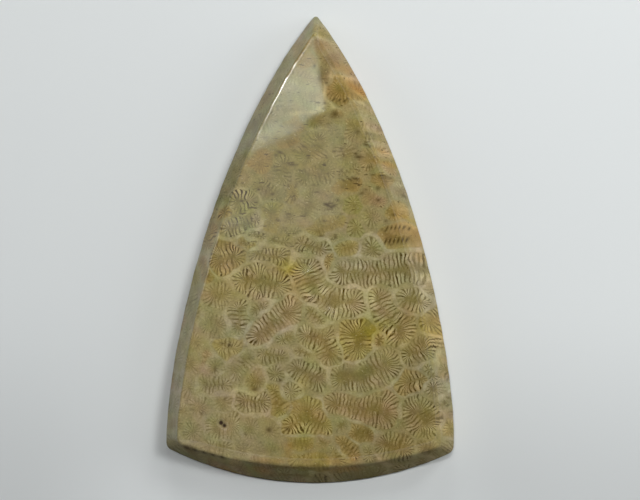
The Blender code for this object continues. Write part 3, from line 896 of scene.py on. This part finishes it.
def rock_colour(n, gap, ridge, fine):
    """The colour of the rock: septa, walls and gaps, then the tint and the grain, then the specks."""
    inward, contrast = n.stored("inward"), n.stored("contrast")
    centre = n.product(n.ramp(inward, 0.12, 0.70), n.maths("ADD", n.product(contrast, 0.7), 0.3))
    rock = n.blend(centre, SEPTUM_COLOUR, CENTRE_COLOUR)
    in_wall = n.product(n.ramp(n.stored("depth"), 0.10, -0.12), contrast,
                        n.ramp(n.noise(0.55, 3.0), 0.36, 0.62, 0.2, 1.0))
    rock = n.blend(in_wall, rock, WALL_COLOUR)
    rock = n.blend(n.product(ridge, 0.6), rock, RIDGE_COLOUR)
    rock = n.blend(gap, rock, GAP_COLOUR)
    rock = n.blend(1.0, rock, n.stored("tint", "Color"), "MULTIPLY")
    grain = n.ramp(fine, 0.25, 0.75, 0.84, 1.16)
    grain = n.put("CombineColor", dict.fromkeys(range(3), grain)).outputs[0]
    rock = n.blend(1.0, rock, grain, "MULTIPLY")

    # Dark specks, drawn out across the stone, and pale ones.
    drawn_out = n.put("VectorMath", {0: n.place(), 1: (0.34, 1.0, 0.6)}, operation="MULTIPLY")
    specks = n.ramp(n.noise(3.2, 2.0, drawn_out.outputs[0]), 0.64, 0.72, 0.0, 0.8)
    specks = n.product(specks, n.stored("flecked"))
    rock = n.blend(n.maths("MAXIMUM", specks, n.stored("fleck")), rock, SPECK_COLOUR)
    rock = n.blend(n.ramp(n.noise(4.2, 1.0), 0.66, 0.76, 0.0, 0.5), rock, RIDGE_COLOUR)
    return n.blend(n.ramp(n.stored("pit"), 0.25, 0.7), rock, PIT_COLOUR)


def stone_material(name, polished):
    """The rock, polished as on the face, or only ground smooth as on the walls and the back."""
    material = bpy.data.materials.new(name)
    n = Nodes(material)
    gap, ridge = gap_and_ridge(n)
    fine = n.noise(5.0, 4.0, roughness=0.6)
    n.feed(n.shader.inputs["Base Color"], rock_colour(n, gap, ridge, fine))

    limits = POLISHED_ROUGHNESS if polished else GROUND_ROUGHNESS
    roughness = n.ramp(n.noise(0.35, 3.0), 0.3, 0.7, *limits)
    dulled = n.maths("ADD", n.ramp(n.stored("pit"), 0.02, 0.2, 0.0, PIT_DULLNESS),
                     n.ramp(n.stored("gloss"), 1, 0, 0, WORN_DULLNESS))
    n.feed(n.shader.inputs["Roughness"], n.maths("ADD", roughness, dulled))
    n.shader.inputs["IOR"].default_value = STONE_IOR
    n.shader.inputs["Specular IOR Level"].default_value = 0.5 if polished else 0.4
    height = n.maths("SUBTRACT", n.product(fine, 0.25), gap)
    bump = n.put("Bump", {"Height": height, "Strength": 0.3, "Distance": BUMP_HEIGHT * MM})
    n.feed(n.shader.inputs["Normal"], bump.outputs[0])
    return material


def floor_material():
    """A pale matt board, with painted shade that darkens it in front of the stone on both sides."""
    material = bpy.data.materials.new("pale_board")
    n = Nodes(material)
    place = n.put("SeparateXYZ", {0: n.place()}).outputs
    aside = n.ramp(n.maths("ABSOLUTE", n.maths("ADD", place[0], 4 * MM)), 10 * MM, 30 * MM)
    in_front = n.ramp(place[1], -4 * MM, -30 * MM)
    board = n.blend(n.noise(0.02, 2.0), *BOARD_COLOURS)
    # Painted shade, darker toward the front corners.
    painted_shade = n.product(n.product(aside, in_front), 0.16)
    n.feed(n.shader.inputs["Base Color"], n.blend(painted_shade, board, BLACK))
    n.shader.inputs["Roughness"].default_value = 0.7
    return material


# ---- Floor, light and camera ----

FLOOR_HALF = 1500  # half the side of the board

# name, place, size, watts, colour
DAYLIGHT = (0.98, 1.0, 0.995)
LIGHTS = [
    ("window", (160, 75, 300), 60, 0.352, DAYLIGHT),
    ("side_window", (110, 150, 160), 80, 0.12, DAYLIGHT),
    ("back_light", (-10, 200, 80), 80, 0.09, DAYLIGHT),
    ("right_fill", (320, 60, 160), 200, 0.308, DAYLIGHT),
    ("left_fill", (-260, 120, 120), 120, 0.14, DAYLIGHT),
    ("ceiling", (-102, 162, 1000), 110, 0.21, (0.90, 1.0, 0.92)),
    ("lamp", (-250, 225, 900), 36, 2.0, (1.0, 1.0, 1.0)),
]
ROOM_COLOUR, ROOM_STRENGTH = (0.95, 0.98, 1.0), 0.005

CAMERA_TARGET = Vector((0, 1.647, 0))
CAMERA_DISTANCE = 320.0
CAMERA_BACK, CAMERA_RIGHT, CAMERA_ROLL = (math.radians(angle) for angle in (2.5, 1.3, 0.8))
CAMERA_SHIFT = (0.795, -1.751)  # right and up, in the picture
MM_PER_PIXEL = 0.1116
PICTURE_WIDTH = 640  # pixels
SENSOR_WIDTH = 36.0


def add_floor():
    mesh = bpy.data.meshes.new("floor")
    side = FLOOR_HALF * MM
    corners = [(-side, -side, 0), (side, -side, 0), (side, side, 0), (-side, side, 0)]
    mesh.from_pydata(corners, [], [(0, 1, 2, 3)])
    mesh.materials.append(floor_material())
    floor = add_object("floor", mesh)


def add_light(name, place, size, watts, colour):
    """A square area light at a place in millimetres, facing the stone."""
    data = bpy.data.lights.new(name, "AREA")
    data.size = size * MM
    data.energy = watts
    data.color = colour
    light = add_object(name, data)
    light.location = Vector(place) * MM
    light.rotation_euler = light.location.to_track_quat("Z", "Y").to_euler()


def add_camera():
    """The camera looks almost straight down, from a little below and right of the stone."""
    away = Vector((math.sin(CAMERA_RIGHT), -math.sin(CAMERA_BACK), 0))
    away.z = math.sqrt(1 - away.length_squared)
    across = Vector((0, 1, 0)).cross(away).normalized()
    up = away.cross(across)
    right = math.cos(CAMERA_ROLL) * across + math.sin(CAMERA_ROLL) * up
    up = math.cos(CAMERA_ROLL) * up - math.sin(CAMERA_ROLL) * across
    place = CAMERA_TARGET + CAMERA_DISTANCE * away + CAMERA_SHIFT[0] * right + CAMERA_SHIFT[1] * up
    data = bpy.data.cameras.new("camera")
    data.sensor_width = SENSOR_WIDTH
    data.lens = SENSOR_WIDTH * (CAMERA_DISTANCE / MM_PER_PIXEL) / PICTURE_WIDTH
    data.clip_end = 10
    camera = add_object("camera", data)
    camera.matrix_world = Matrix.Translation(place * MM) @ Matrix((right, up, away)).transposed().to_4x4()
    bpy.context.scene.camera = camera


def add_world():
    world = bpy.data.worlds.new("soft_room")
    world.use_nodes = True
    background = world.node_tree.nodes["Background"]
    background.inputs["Color"].default_value = (*ROOM_COLOUR, 1)
    background.inputs["Strength"].default_value = ROOM_STRENGTH
    bpy.context.scene.world = world


stone = stone_object()
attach(stone, "root")
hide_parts("fossil_coral_cabochon")
add_floor()
add_world()
for light in LIGHTS:
    add_light(*light)
add_camera()
bpy.context.scene.view_settings.view_transform = "Standard"
